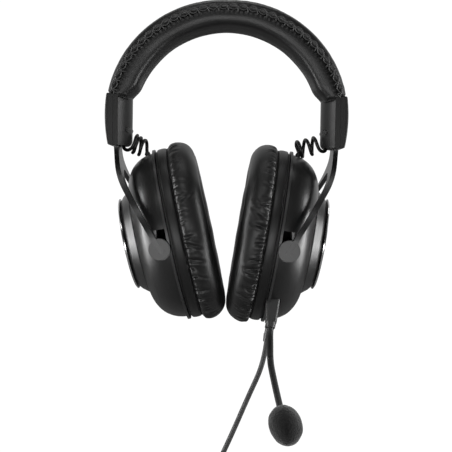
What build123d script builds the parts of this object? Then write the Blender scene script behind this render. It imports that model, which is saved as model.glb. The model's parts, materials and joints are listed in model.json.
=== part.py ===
"""Closed-back gaming headset with a boom microphone.

Millimetres. The wearer faces -Y and +Z is up. The origin is the underside of the headband pad at
its highest point, where the head carries the headset. +X is the wearer's left, the wired side.
Each cup is made in its own frame (n outward, y back, u up) and placed with CUP.
"""

import os
from math import cos, pi, radians, sin, tan

from build123d import *

GAP = 0.3  # clearance between pieces that move past each other
FIT = 0.05  # radial running clearance of the pins

# Headband: an arch about an axis along Y
ARCH = Vector(0, 0, -56.6)
COVER_OUT_R = 74.0
COVER_IN_R = 62.3
BAND_IN_R = 62.2
BAND_OUT_R = 63.4
PAD_IN_R = 56.6
PAD_OUT_R = 62.0
BAND_HALF_Y = 11.0
HEAD_HALF_Y = 17.0
COVER_END = 14.2
PAD_END = 15.5
BAND_END = 10.0
CROSSOVER_R = 61.0
CROSSOVER_WIRE_R = 0.9
CROSSOVER_END = 1.5

# Slider housings, drawn in X and Z for the +X side
HOUSING_BOTTOM = -70.8
HOUSING_IN_X = 57.0
HOUSING_TOP_IN_Z = -42.2
HOUSING_CORNER_R = 4.0
HOUSING_TOP_OUT = (71.0, -40.2)
HOUSING_MID_OUT = (71.8, -55.0)
HOUSING_LOW_OUT = 69.9
SEAM_X = 67.0
STEP_X = 64.0
INNER_HALF_Y = 16.2
HOUSING_SCREW = (58.6, -61.4)
HOUSING_SCREW_SEAT_Y = 6.4

# Slider strip and swivel
STRIP_X = 65.5
STRIP_T = 1.6
STRIP_HALF_Y = 5.0
STRIP_TOP = -33.0
BLOCK_HALF_X = 2.8
BLOCK_HALF_Y = 6.0
BLOCK_TOP = -61.0
SWIVEL_R = 1.2
DETENT_PITCH = 4.0

# Fork
FORK_TOP = -71.2
BEND_Z = -69.0
BEND_R = 52.0
BEND_DEG = 32.0
FORK_T = 2.8
FORK_TIP = 42.1
PIVOT = Vector(36.6, 0, -130.4)
CAP_R = 6.2
CAP_IN_Y = 43.7
ARM_IN_Y = 44.9
CAP_OUT_Y = 47.2
PIN_R = 1.5

# Cups, at the tilt that both share when level; each rests turned a little about its pivot
TILT = 10.9
LEFT_TURN = -2.0
RIGHT_TURN = 2.0
PIVOT_N = 6.6
PIVOT_U = -5.3
OVAL = 0.9  # a cup's depth over its height
RING_R = 52.3
RING_IN_R = 48.2
RING_T = 1.4
EAR_PAD_BACK = -4.7
EAR_PAD_FACE = -22.3
EAR_PAD_OUT_R = 53.8
EAR_HOLE_R = 31.0
DRIVER_R = 25.5
DISC_N = 26.4
DISC_R = 27.6
POST_R = 42.0
POST_DEG = 20.0
SCREW_R = 1.2

# Microphone, on the +X cup
SEAT = Vector(28.4, -29.0, -160.6)
PLUG_AXIS = Vector(-0.088, -0.42, -0.903).normalized()
PLUG_L = 12.6
COLLAR_L = 3.4
BOOM_R = 1.95
BOOM_TIP_R = 1.75
BEND_1 = Vector(26.7, -43.0, -182.8)
BOOM_MID = Vector(26.3, -55.0, -190.9)
BEND_2 = Vector(27.5, -68.0, -197.3)
BOOM_END = Vector(29.7, -92.0, -206.9)
FOAM = Vector(32.4, -102.0, -215.5)
FOAM_R = 8.5
FOAM_HALF_L = 10.5
FOAM_AXIS = Vector(0.33, -0.25, -0.91).normalized()
BEND_CUT_R = 2.4
CAPSULE_R = 3.2

# Cable: 2 m, most of it wound into the coil
CORD_R = 1.55
CABLE_N = 7.0
CABLE_Y = -10.0
CABLE_EXIT_U = -62.9
CORD_POINTS = [(26.1, -10.0, -187.0), (23.6, -10.0, -199.9), (15.6, -9.6, -220.5),
               (6.3, -9.2, -243.2), (-1.6, -8.5, -261.0)]
COIL = Vector(3.5, -8.5, -283.0)
COIL_R = 18.0
BUNDLE_R = 6.4
AUDIO_PLUG_TOP = -306.8
AUDIO_PLUG_L = 18.2
JACK_R = 1.75
JACK_L = 14.0

# Coiled leads
LEAD_R = 5.4
LEAD_FROM_X = 54.3
LEAD_TO_X = 44.8
LEAD_Z = -68.2

UP = Vector(sin(radians(TILT)), 0, cos(radians(TILT)))
OUT = Vector(cos(radians(TILT)), 0, -sin(radians(TILT)))
CUP_CENTRE = PIVOT - OUT * PIVOT_N - UP * PIVOT_U
CUP = Plane(origin=CUP_CENTRE, x_dir=OUT, z_dir=UP)
BASE = (Align.CENTER, Align.CENTER, Align.MIN)


def save(shape, name):
    """Write one node; separate solids in it become a group."""
    solids = shape.solids()
    export_step(solids[0] if len(solids) == 1 else Compound(children=solids), f"parts/{name}.step")


def save_pair(shape, name):
    """Write a piece of the +X side and its mirror image on the other side."""
    save(shape, f"{name}_left")
    save(mirror(shape, about=Plane.YZ), f"{name}_right")


def rod(start, end, radius, end_radius=None):
    """A round or tapered bar from start to end."""
    start, end = Vector(start), Vector(end)
    plane = Plane(origin=start, z_dir=end - start)
    length = (end - start).length
    if end_radius is None:
        return plane * Cylinder(radius, length, align=BASE)
    return plane * Cone(radius, end_radius, length, align=BASE)


def block(x, y, z):
    """A box from three pairs of limits."""
    middle = [(a + b) / 2 for a, b in (x, y, z)]
    return Pos(*middle) * Box(*[b - a for a, b in (x, y, z)])


def xz(points):
    """Points in X and Z as vectors at Y = 0."""
    return [Vector(x, 0, z) for x, z in points]


def slab(edges, half_y):
    """The closed outline, drawn in X and Z, as a plate that runs from -half_y to half_y."""
    return extrude(Face(Wire(edges)), amount=half_y, dir=(0, 1, 0), both=True)


def polygon(points):
    """The closed outline through the points, in X and Z."""
    return Polyline(*xz(points), close=True).edges()


def arch(r_in, r_out, half_y, end):
    """A stretch of the headband's arch that ends at that many degrees over the horizontal."""
    def at(r, degrees):
        return ARCH + Vector(r * cos(radians(degrees)), 0, r * sin(radians(degrees)))
    edges = [ThreePointArc(at(r_out, end), at(r_out, 90), at(r_out, 180 - end)),
             Line(at(r_out, 180 - end), at(r_in, 180 - end)),
             ThreePointArc(at(r_in, 180 - end), at(r_in, 90), at(r_in, end)),
             Line(at(r_in, end), at(r_out, end))]
    return slab(edges, half_y)


def turned(edges, oval=OVAL):
    """A closed outline in n and u, turned about the cup's axis, and made oval."""
    round_piece = revolve(Face(Wire(edges)), Axis.X, 360)
    return scale(round_piece, by=(1, oval, 1)) if oval != 1 else round_piece


def turned_cup(piece, degrees):
    """A piece on the +X side, turned with its cup about the pivot."""
    return piece.rotate(Axis(PIVOT, (0, 1, 0)), degrees)


def save_cups(shape, name):
    """Write a piece of both cups, each turned as its cup rests."""
    save(turned_cup(shape, LEFT_TURN), f"{name}_left")
    save(mirror(turned_cup(shape, RIGHT_TURN), about=Plane.YZ), f"{name}_right")


def in_cup(piece):
    """A piece from the cup's frame, in its place on the +X side."""
    return CUP * piece


def cup_point(n, y, u):
    """A point of the cup's frame, in its place on the +X side."""
    return CUP_CENTRE + OUT * n + Vector(0, y, 0) + UP * u


def across(x, z, radius, y_from, y_to):
    """A round bar along Y."""
    return rod((x, y_from, z), (x, y_to, z), radius)


def at_pivots(radius, y_in, y_out):
    """A bar on the pivot axis at the front arm and at the back arm."""
    return (across(PIVOT.X, PIVOT.Z, radius, -y_out, -y_in)
            + across(PIVOT.X, PIVOT.Z, radius, y_in, y_out))


# ---- headband

def headband():
    """The cover and pad, the sprung band between them, and the lead that crosses inside."""
    cover = arch(COVER_IN_R, COVER_OUT_R, HEAD_HALF_Y, COVER_END)
    cover -= arch(COVER_IN_R - 1, BAND_OUT_R + GAP, BAND_HALF_Y + GAP, 0)
    strip_room = block((STRIP_X - STRIP_T / 2 - GAP, STRIP_X + STRIP_T / 2 + GAP),
                       (-STRIP_HALF_Y - GAP, STRIP_HALF_Y + GAP), (-50, STRIP_TOP + GAP))
    cover -= strip_room + mirror(strip_room, about=Plane.YZ)
    rims = cover.edges().filter_by(GeomType.CIRCLE).group_by(SortBy.RADIUS)[-1]
    save(fillet(rims, 5), "headband_cover")
    save(arch(BAND_IN_R, BAND_OUT_R, BAND_HALF_Y, BAND_END), "headband_spring_band")
    pad = arch(PAD_IN_R, PAD_OUT_R, HEAD_HALF_Y, PAD_END)
    rims = pad.edges().filter_by(GeomType.CIRCLE).group_by(SortBy.RADIUS)[0]
    pad = fillet(rims, 4)
    save(pad - arch(CROSSOVER_R - 1, PAD_OUT_R + 1, CROSSOVER_WIRE_R + 0.1, 0), "headband_pad")
    ends = [ARCH + Vector(CROSSOVER_R * cos(radians(a)), 0, CROSSOVER_R * sin(radians(a)))
            for a in (CROSSOVER_END, 90, 180 - CROSSOVER_END)]
    path = ThreePointArc(*ends)
    section = Plane(origin=path @ 0, z_dir=path % 0) * Circle(CROSSOVER_WIRE_R)
    save(sweep(section, path), "crossover_lead")


# ---- slider housings

def housing_outline(x_from, x_to):
    """The stretch of a housing between two X limits: curved outside, its lower inner corner round."""
    x, r = HOUSING_IN_X, HOUSING_CORNER_R
    low, bulge = HOUSING_BOTTOM, HOUSING_CORNER_R * (1 - cos(radians(45)))
    wide = [Line(*xz([(x, HOUSING_TOP_IN_Z), HOUSING_TOP_OUT])),
            ThreePointArc(*xz([HOUSING_TOP_OUT, HOUSING_MID_OUT, (HOUSING_LOW_OUT, low)])),
            Line(*xz([(HOUSING_LOW_OUT, low), (x + r, low)])),
            ThreePointArc(*xz([(x + r, low), (x + bulge, low + bulge), (x, low + r)])),
            Line(*xz([(x, low + r), (x, HOUSING_TOP_IN_Z)]))]
    return slab(wide, HEAD_HALF_Y) & block((x_from, x_to), (-20, 20), (-80, -30))


def housing_barrel():
    """The inner half's form from above: convex towards the head."""
    ends = [(STEP_X + 1, INNER_HALF_Y), (STEP_X, INNER_HALF_Y), (HOUSING_IN_X - 0.2, 0),
            (STEP_X, -INNER_HALF_Y), (STEP_X + 1, -INNER_HALF_Y)]
    a, b, c, d, e = [Vector(px, py, -80) for px, py in ends]
    face = Face(Wire([Line(a, b), ThreePointArc(b, c, d), Line(d, e), Line(e, a)]))
    return extrude(face, amount=50, dir=(0, 0, 1))


def slider_room():
    """The space in a housing that the strip, its block, the band and the leads need."""
    low = HOUSING_BOTTOM - 1
    strip = block((STRIP_X - STRIP_T / 2 - GAP, STRIP_X + STRIP_T / 2 + GAP),
                  (-STRIP_HALF_Y - GAP, STRIP_HALF_Y + GAP), (low, -39))
    carrier = block((STRIP_X - BLOCK_HALF_X - GAP, STRIP_X + BLOCK_HALF_X + GAP),
                    (-BLOCK_HALF_Y - GAP, BLOCK_HALF_Y + GAP), (low, BLOCK_TOP + GAP))
    leaf = block((62.2, STRIP_X), (-3.5, 3.5), (-59.5, -46.6))
    band = arch(BAND_IN_R - GAP, BAND_OUT_R + GAP, BAND_HALF_Y + GAP, BAND_END - 0.5)
    lead = arch(CROSSOVER_R - 1.1, CROSSOVER_R + 1.1, CROSSOVER_WIRE_R + 0.2, 0)
    return strip + carrier + leaf + band + lead


def housings():
    """Outer lid, inner half, its two screws and the detent leaf of each slider housing."""
    room = slider_room()
    lid = housing_outline(SEAM_X + 0.05, 80)
    lid = fillet(lid.faces().sort_by(Axis.X)[-1].edges(), 1.1) - room
    line = block((70.0, 70.25), (-20, 20), (-80, -30))
    lid -= line - block((60, 80), (-HEAD_HALF_Y + 0.3, HEAD_HALF_Y - 0.3), (-80, -30))
    save_pair(lid, "housing_outer")
    flush = housing_outline(STEP_X, SEAM_X - 0.05)
    inner = housing_outline(50, STEP_X) & housing_barrel()
    (x, z), seat = HOUSING_SCREW, HOUSING_SCREW_SEAT_Y
    holes, screws = Part(), Part()
    for s in (-1, 1):
        holes += across(x, z, 1.7, s * seat, s * 20) + across(x, z, 1.0, s * 2.5, s * 20)
        screws += across(x, z, 1.6, s * seat, s * (seat + 0.9)) + across(x, z, 1.0, s * 2.5, s * seat)
    save_pair(flush + inner - room - holes, "housing_inner")
    save_pair(screws, "housing_screws")
    leaf = block((63.0, 63.4), (-3, 3), (-58.8, -47.2)) + Pos(63.4, 0, -53) * Sphere(0.9)
    save_pair(leaf, "detent_leaf")


def slider():
    """Notched steel strip with the swivel's bearing block at its lower end."""
    strip = block((STRIP_X - STRIP_T / 2, STRIP_X + STRIP_T / 2), (-STRIP_HALF_Y, STRIP_HALF_Y),
                  (BLOCK_TOP, STRIP_TOP))
    strip = fillet(strip.edges().filter_by(Axis.X).group_by(Axis.Z)[-1], 2)
    for i in range(5):
        strip -= Pos(STRIP_X, 0, -53 + i * DETENT_PITCH) * (Rot(0, 90, 0) * Cylinder(1.1, 4))
    carrier = block((STRIP_X - BLOCK_HALF_X, STRIP_X + BLOCK_HALF_X), (-BLOCK_HALF_Y, BLOCK_HALF_Y),
                    (HOUSING_BOTTOM, BLOCK_TOP))
    carrier -= rod((STRIP_X, 0, HOUSING_BOTTOM - 1), (STRIP_X, 0, -63.2), SWIVEL_R + FIT)
    save_pair(strip + carrier, "slider_strip")
    save_pair(rod((STRIP_X, 0, -73.8), (STRIP_X, 0, -63.5), SWIVEL_R), "swivel_pin")


# ---- fork

def fork_side(r):
    """The fork's outline at that radius: its bend and its straight leg, from the top down."""
    turn, top = radians(BEND_DEG), radians(2.4)
    centre = Vector(STRIP_X - BEND_R, 0, BEND_Z)
    points = [centre + Vector(r * cos(a), 0, -r * sin(a)) for a in (top, turn / 2, turn)]
    tip = points[2] + Vector(-sin(turn), 0, -cos(turn)) * FORK_TIP
    return points, tip


def forks():
    """Bent metal wishbone, the caps that hold its ends, and the pivot and swivel pins."""
    (a, b, c), tip_out = fork_side(BEND_R + FORK_T / 2)
    (d, e, f), tip_in = fork_side(BEND_R - FORK_T / 2)
    sheet = slab([ThreePointArc(a, b, c), Line(c, tip_out), Line(tip_out, tip_in), Line(tip_in, f),
                  ThreePointArc(f, e, d), Line(d, a)], 50)
    outer = [(10.5, -70.0), (11.2, -75.5), (18.5, -82.5), (28.5, -90.5), (37.0, -99.5), (43.0, -108.0),
             (46.2, -116.5), (47.2, -124.0)]
    inner = [(ARM_IN_Y, -125.0), (44.1, -120.4), (42.7, -116.0), (39.2, -109.0), (33.0, -101.5),
             (21.0, -93.0), (9.0, -87.0), (0.0, -85.0)]
    right = [Vector(0, y, z) for y, z in outer]
    right_in = [Vector(0, y, z) for y, z in inner]
    low = -140.0
    half = Face(Wire([Line((0, 0, -70), right[0]), Spline(right),
                      Line(right[-1], (0, CAP_OUT_Y, low)), Line((0, CAP_OUT_Y, low), (0, ARM_IN_Y, low)),
                      Line((0, ARM_IN_Y, low), right_in[0]), Spline(right_in),
                      Line(right_in[-1], (0, 0, -70))]))
    outline = extrude(half, amount=90, dir=(1, 0, 0))
    outline += mirror(outline, about=Plane.XZ)
    pin = rod((STRIP_X, 0, -73.8), (STRIP_X, 0, -60), SWIVEL_R)
    fork = (sheet & outline) - pin
    save_pair(fork, "fork")
    caps = at_pivots(CAP_R, CAP_IN_Y, CAP_OUT_Y) - at_pivots(PIN_R, CAP_IN_Y - 1, ARM_IN_Y)
    caps = fillet(caps.edges().filter_by(GeomType.CIRCLE).filter_by(
        lambda e: abs(abs(e.center().Y) - CAP_OUT_Y) < 0.01), 0.4)
    save_pair(caps - fork, "pivot_caps")
    save_pair(at_pivots(PIN_R, 38.6, ARM_IN_Y), "pivot_pins")


# ---- cups

def shell_body(outer):
    """The cup's closed outer form, or its hollow: an oval bowl with a round turret on it."""
    if outer:
        curve = [(1.5, 50.4), (8.2, 49.0), (14.5, 44.9), (18.0, 39.8), (20.1, 31.8)]
        cap = [(20.1, 0), (1.5, 0)]
        turret = [(18.5, 0), (18.5, 32.2), (20.3, 31.8), (24.5, 28.5), (26.2, 26.4), (26.2, 0)]
    else:
        curve = [(1.0, 48.4), (7.6, 46.9), (13.1, 43.3), (16.2, 38.6), (18.1, 31.0)]
        cap = [(18.1, 0), (1.0, 0)]
        turret = [(16.5, 0), (16.5, 29.6), (20.5, 29.2), (24.2, 25.8), (24.2, 0)]
    a, b, c, d, e = xz(curve)
    rest = Polyline(e, *xz(cap), a).edges()
    bowl = turned([ThreePointArc(a, b, c), ThreePointArc(c, d, e), *rest])
    return bowl + turned(polygon(turret), 1)


def oval_disc(radius):
    """A cup's oval outline of that half height."""
    return Ellipse(OVAL * radius, radius)


def posts(radius, n_from, n_to):
    """A bar at each of the four screw places, in the cup's frame."""
    bars = Part()
    for y_sign in (1, -1):
        for u_sign in (1, -1):
            y = y_sign * OVAL * POST_R * cos(radians(POST_DEG))
            u = u_sign * POST_R * sin(radians(POST_DEG))
            bars += rod((n_from, y, u), (n_to, y, u), radius)
    return bars


def plug_body():
    """The microphone plug's tapered body, from its seat outward."""
    plane = Plane(origin=SEAT - PLUG_AXIS * 2, x_dir=(1, 0, -0.1), z_dir=PLUG_AXIS)
    return loft([plane * RectangleRounded(8.6, 8.2, 1.8),
                 plane.offset(PLUG_L + 2) * RectangleRounded(6.6, 6.6, 1.8)])


def plug_way():
    """The straight way out of the cup for the plug's widest end, with its clearance."""
    plane = Plane(origin=SEAT - PLUG_AXIS * 2.5, x_dir=(1, 0, -0.1), z_dir=PLUG_AXIS)
    return extrude(plane * RectangleRounded(8.6 + 2 * GAP, 8.2 + 2 * GAP, 1.8), PLUG_L + 4)


def socket_box(grow):
    """The microphone socket's body, inside the cup behind the plug's seat."""
    plane = Plane(origin=SEAT - PLUG_AXIS * (10 + grow), x_dir=(1, 0, -0.1), z_dir=PLUG_AXIS)
    return plane * Box(7.6 + 2 * grow, 7.6 + 2 * grow, 7.6 + grow, align=BASE)


def cable_line(u_from, u_to, radius, end_radius=None):
    """A bar on the axis of the cable's plug."""
    return rod(cup_point(CABLE_N, CABLE_Y, u_from), cup_point(CABLE_N, CABLE_Y, u_to), radius, end_radius)


def shells():
    """Cup shells with their screw posts and pivot bosses, and the trim rings."""
    hollow = in_cup(shell_body(False))
    bosses = at_pivots(4.5, 37.0, 43.6) & in_cup(shell_body(True))
    whole = in_cup(shell_body(True)) - hollow
    whole += (in_cup(posts(3, 1.5, 17)) & in_cup(shell_body(True))) + bosses
    whole -= in_cup(posts(SCREW_R + FIT, 0, 9))
    whole -= at_pivots(CAP_R + 0.4, CAP_IN_Y - GAP, 60) + at_pivots(PIN_R + FIT, 38.3, 60)
    notch = block((0.6, 8.0), (42.4, 60), (0.0, 5.6)) + block((0.6, 8.0), (-60, -42.4), (0.0, 5.6))
    whole -= in_cup(notch)
    whole -= rod(cup_point(5, 0, 40), cup_point(5, 0, 60), 1.6)
    whole -= rod(cup_point(15, 0, 0), cup_point(30, 0, 0), 5.1)
    ring = extrude(Plane.YZ * (oval_disc(RING_R) - oval_disc(RING_IN_R)), RING_T)
    ring = in_cup(ring) - at_pivots(CAP_R + 0.4, CAP_IN_Y - GAP, 60)
    whole = whole.solids().sort_by(SortBy.VOLUME)[-1]
    save(mirror(turned_cup(whole, RIGHT_TURN), about=Plane.YZ), "cup_shell_right")
    save(mirror(turned_cup(ring, RIGHT_TURN), about=Plane.YZ), "trim_ring_right")
    wired = turned_cup(whole, LEFT_TURN) - plug_way() - socket_box(0.1)
    save(wired - cable_line(-40, -60, 2.95), "cup_shell_left")
    save(turned_cup(ring, LEFT_TURN) - plug_way(), "trim_ring_left")


def ear_pad_outline():
    """A pad's section: flat back, bulging side, and both corners of its face rounded."""
    round_out, round_in = 7.5, 6.0
    diagonal = 1 - cos(radians(45))
    rim, hole = EAR_PAD_OUT_R - 0.8, EAR_HOLE_R
    a, b, c, d, e, f, g, h, i = xz([
        (EAR_PAD_BACK, hole), (EAR_PAD_BACK, 51.5), (-9.5, EAR_PAD_OUT_R), (EAR_PAD_FACE + round_out, rim),
        (EAR_PAD_FACE + round_out * diagonal, rim - round_out * diagonal), (EAR_PAD_FACE, rim - round_out),
        (EAR_PAD_FACE, hole + round_in),
        (EAR_PAD_FACE + round_in * diagonal, hole + round_in * diagonal), (EAR_PAD_FACE + round_in, hole)])
    return [Line(a, b), ThreePointArc(b, c, d), ThreePointArc(d, e, f), Line(f, g), ThreePointArc(g, h, i),
            Line(i, a)]


def cup_insides():
    """Baffle, screws, driver, scrim, pad, outer disc and lead gland of each cup."""
    plate = turned(polygon([(-4.4, 0), (-4.4, 50.6), (-0.4, 50.6), (-0.4, 47.6), (1.0, 47.6), (1.0, 0)]))
    plate -= rod((-6, 0, 0), (3, 0, 0), 21.0) + posts(SCREW_R + 0.2, -6, 3) + posts(2.6, -6, -2.9)
    plate = in_cup(plate)
    save(mirror(turned_cup(plate, RIGHT_TURN), about=Plane.YZ), "baffle_right")
    save(turned_cup(plate, LEFT_TURN) - plug_way() - socket_box(0.1), "baffle_left")
    screws = posts(SCREW_R, -3.6, 8.5) + posts(2.4, -4.4, -3.0)
    save_cups(in_cup(screws), "cup_screws")
    basket = [(1.0, 20.8), (1.0, DRIVER_R), (2.4, DRIVER_R), (2.4, 23.5), (7.5, 15), (9, 15), (9, 11.3),
              (7.2, 11.3), (6.6, 14.2)]
    save_cups(in_cup(turned(polygon(basket), 1)), "driver_frame")
    magnet = [(7.4, 0), (7.4, 11.2), (14.5, 11.2), (14.5, 0)]
    save_cups(in_cup(turned(polygon(magnet), 1)), "driver_magnet")
    dome = [(-0.2, 0), (0.1, 0), (0.1, 4), (-1.2, 10.5), (0.1, 20.6), (-0.2, 20.6), (-1.5, 10.5), (-0.2, 4)]
    save_cups(in_cup(turned(polygon(dome), 1)), "driver_diaphragm")
    save_cups(in_cup(turned(polygon([(-5.0, 0), (-5.0, 30.2), (-4.5, 30.2), (-4.5, 0)]))), "driver_scrim")
    save_cups(in_cup(turned(ear_pad_outline())), "ear_pad")
    disc = [(DISC_N, 0), (DISC_N, DISC_R - 1.4), (DISC_N + 0.5, DISC_R), (DISC_N + 1.0, DISC_R),
            (DISC_N + 1.5, DISC_R - 1.0), (DISC_N + 1.2, 0)]
    disc = turned(polygon(disc), 1) + rod((24.6, 0, 0), (DISC_N + 0.1, 0, 0), 5)
    save_cups(in_cup(disc), "outer_disc")
    gland = rod(cup_point(5, 0, 46.5), cup_point(5, 0, 50.5), 1.5)
    gland += rod(cup_point(5, 0, 50.4), cup_point(5, 0, 52.0), 1.9, 1.3)
    save_cups(gland - rod(cup_point(5, 0, 40), cup_point(5, 0, 60), 0.6), "lead_gland")


# ---- microphone

def bent_rod(points, radius, bend_r):
    """A round bar along straight runs joined by arcs of that radius."""
    path = FilletPolyline(*points, radius=bend_r)
    return sweep(Plane(origin=path @ 0, z_dir=path % 0) * Circle(radius), path)


def microphone():
    """Plug, gooseneck in three lengths with ball ends, capsule and foam, and the socket."""
    plug = plug_body()
    collar = SEAT + PLUG_AXIS * PLUG_L
    boom_start = collar + PLUG_AXIS * COLLAR_L
    plug += rod(collar - PLUG_AXIS * 0.5, boom_start, 3.2, 2.7)
    plug += rod(SEAT - PLUG_AXIS * 8.5, SEAT, 2.5)
    root = boom_start - PLUG_AXIS * 2.5
    plug -= rod(root, boom_start + PLUG_AXIS, BOOM_R)
    save(plug, "mic_plug")
    socket = socket_box(0) - rod(SEAT - PLUG_AXIS * 9, SEAT, 2.5 + FIT)
    save(socket, "mic_socket")
    lower = bent_rod([root, boom_start + PLUG_AXIS * 2.5, BEND_1], BOOM_R, 6)
    save(lower - Pos(*BEND_1) * Sphere(BEND_CUT_R), "mic_boom_lower")
    middle = bent_rod([BEND_1, BOOM_MID, BEND_2], BOOM_R, 20) + Pos(*BEND_1) * Sphere(BOOM_R)
    save(middle - Pos(*BEND_2) * Sphere(BEND_CUT_R), "mic_boom_middle")
    inward = (FOAM - BOOM_END).normalized()
    core_from, core_to = BOOM_END + inward * 5, BOOM_END + inward * 14
    upper = bent_rod([BEND_2, BOOM_END, core_from], BOOM_TIP_R, 6) + Pos(*BEND_2) * Sphere(BOOM_TIP_R)
    save(upper, "mic_boom_upper")
    capsule = rod(core_from, core_to, CAPSULE_R)
    save(capsule, "mic_capsule")
    ball = scale(Sphere(FOAM_R), by=(1, 1, FOAM_HALF_L / FOAM_R))
    foam = Plane(origin=FOAM, z_dir=FOAM_AXIS) * ball
    core = rod(BOOM_END - inward * 3, core_from, BOOM_TIP_R + 0.05)
    core += rod(core_from - inward * 0.05, core_to + inward * 0.05, CAPSULE_R + 0.05)
    save(foam - core, "mic_foam")
    board = block((15.4, 16.6), (-15, 15), (-33, -14))
    save(turned_cup(in_cup(board), LEFT_TURN), "audio_board")


# ---- cable

def cord_radii(points, share=0.45):
    """For each corner, the arc radius that uses that share of its shorter run."""
    radii = []
    for before, corner, after in zip(points, points[1:], points[2:]):
        run_in, run_out = corner - before, after - corner
        half_turn = radians(run_in.get_angle(run_out)) / 2
        radii.append(share * min(run_in.length, run_out.length) / tan(half_turn))
    return radii


def cable():
    """Seated plug, visible cord, put-away coil with its tie, and the audio plug."""
    plug = cable_line(-43, -54.7, 2.9) + cable_line(-54.7, -58.3, 2.5)
    save(plug + cable_line(-58.3, CABLE_EXIT_U, 2.75, 2.2), "cable_plug")
    points = [cup_point(CABLE_N, CABLE_Y, CABLE_EXIT_U)] + [Vector(*p) for p in CORD_POINTS[1:]]
    radii = cord_radii(points)
    path = FilletPolyline(*points, radius=radii)
    cord = sweep(Plane(origin=path @ 0, z_dir=path % 0) * Circle(CORD_R), path)
    print("cord radii", [round(r, 1) for r in radii], "length", round(path.length, 1), "volume ratio",
          round(cord.volume / (pi * CORD_R**2 * path.length), 4))
    save(cord, "cord")
    ring = Pos(*COIL) * (Rot(90, 0, 0) * Torus(COIL_R, BUNDLE_R))
    save(ring, "cord_coil")
    band = Torus(COIL_R, BUNDLE_R + 0.9) - Torus(COIL_R, BUNDLE_R + 0.05)
    wedge = Rot(0, 0, 60) * block((5, 40), (-2.2, 2.2), (-20, 20))
    save(Pos(*COIL) * (Rot(90, 0, 0) * (band & wedge)), "coil_tie")
    x, y = COIL.X, COIL.Y
    grip_end = AUDIO_PLUG_TOP - AUDIO_PLUG_L
    grip = rod((x, y, AUDIO_PLUG_TOP), (x, y, AUDIO_PLUG_TOP - 6), 1.8, 2.6)
    grip += rod((x, y, AUDIO_PLUG_TOP - 6), (x, y, grip_end), 4.0)
    save(fillet(grip.edges().filter_by(GeomType.CIRCLE).group_by(SortBy.RADIUS)[-1], 0.8),
         "audio_plug_body")
    jack = rod((x, y, grip_end), (x, y, grip_end - JACK_L + 2), JACK_R)
    save(jack + rod((x, y, grip_end - JACK_L + 2), (x, y, grip_end - JACK_L), JACK_R, 0.8), "audio_plug_jack")


def coiled_leads():
    """Each side's coiled lead, as the fat bar that its turns fill."""
    save_pair(rod((LEAD_FROM_X, 0, LEAD_Z), (LEAD_TO_X, 0, LEAD_Z), LEAD_R), "coiled_lead")


os.makedirs("parts", exist_ok=True)
headband()
housings()
slider()
forks()
shells()
cup_insides()
microphone()
cable()
coiled_leads()
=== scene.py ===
"""Looks of the closed-back gaming headset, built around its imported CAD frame.

Metres, in the frame's own axes: the wearer faces -Y, +Z is up and +X is the wearer's left.
Profiles and small parts are drawn in millimetres and scaled by MM.
"""

import json
import math
import random

import bpy
import numpy as np
from mathutils import Matrix, Vector, noise


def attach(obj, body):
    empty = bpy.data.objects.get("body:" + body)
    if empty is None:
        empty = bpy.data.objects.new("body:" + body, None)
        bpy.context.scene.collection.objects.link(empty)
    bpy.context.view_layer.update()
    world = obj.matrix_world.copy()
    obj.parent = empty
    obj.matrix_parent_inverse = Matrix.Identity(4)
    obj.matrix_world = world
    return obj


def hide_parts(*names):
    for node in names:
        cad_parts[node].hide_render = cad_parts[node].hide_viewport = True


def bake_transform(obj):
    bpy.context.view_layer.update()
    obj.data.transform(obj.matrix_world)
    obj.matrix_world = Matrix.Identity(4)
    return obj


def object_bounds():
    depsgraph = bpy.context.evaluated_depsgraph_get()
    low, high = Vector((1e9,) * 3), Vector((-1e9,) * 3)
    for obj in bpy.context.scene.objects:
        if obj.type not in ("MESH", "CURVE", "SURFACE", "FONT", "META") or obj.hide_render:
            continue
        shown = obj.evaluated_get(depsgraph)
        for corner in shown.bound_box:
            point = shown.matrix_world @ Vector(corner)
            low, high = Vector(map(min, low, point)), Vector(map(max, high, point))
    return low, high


MM = 0.001
SIDES = {"left": 1, "right": -1}
CIRCLE = 2 * math.pi

# Camera
EYE = Vector((0.00067, -0.600, -0.0965))
AIM = Vector((0.00067, 0.0, -0.1183))
ROLL = math.radians(0.9)
LENS = 78.7

# Stage: the floor lies lower than the object by the sliders' travel and a little more
WHITE = (1, 1, 1, 1)
SEEN_WHITE = 1.05
LIGHT_AIM = Vector((0, 0, -0.12))
FLOOR_DROP = 0.032
FLOOR_HALF = 6.0

# Headband, in millimetres and degrees over the horizontal
ARCH_Z = -56.6
COVER_TOP_R = 74.0
PAD_IN_R = 56.2
BAND_FROM_DEG = 12.5
BAND_STEPS = 420
SEAM_MID_R = 66.6
TUCK_DEG = (14.6, 12.8)
LOOP_PITCH = 5.8
LOOP_HALF = 1.45
THREAD_R = 0.42
THREAD_Y = 17.65
THREAD_STEP = 0.4

# Cups: each rests at its own tilt; PIVOT_N and PIVOT_U are the pivot's place in the cup's own frame
TILTS = {1: math.radians(8.9), -1: math.radians(12.9)}
PIVOT = Vector((36.6, 0, -130.4))
PIVOT_N = 6.6
PIVOT_U = -5.3
OVAL = 0.9

# Ear pads, in millimetres
PAD_STEPS = 840
SEAM_N = -7.5
SEAM_R = 51.2
SEAM_FLOOR_R = 50.9
PLEATS = 72
PLEAT_ROUND_R = 50.0
PLEATS_TO_R = 36
PLEAT_SEED = 11
STITCH_PITCH = 2.9
STITCH_R = 0.2
STITCH_SPAN = (0.16, 0.84)

# Coiled leads: LEAD_HALF_Y in millimetres, the radius and the inset in metres
LEAD_WIRE_R = 1.05 * MM
LEAD_HALF_Y = 5.4
LEAD_STEPS = 8
LEAD_CUTS = (0, 0.36, 0.68, 1)

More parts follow.
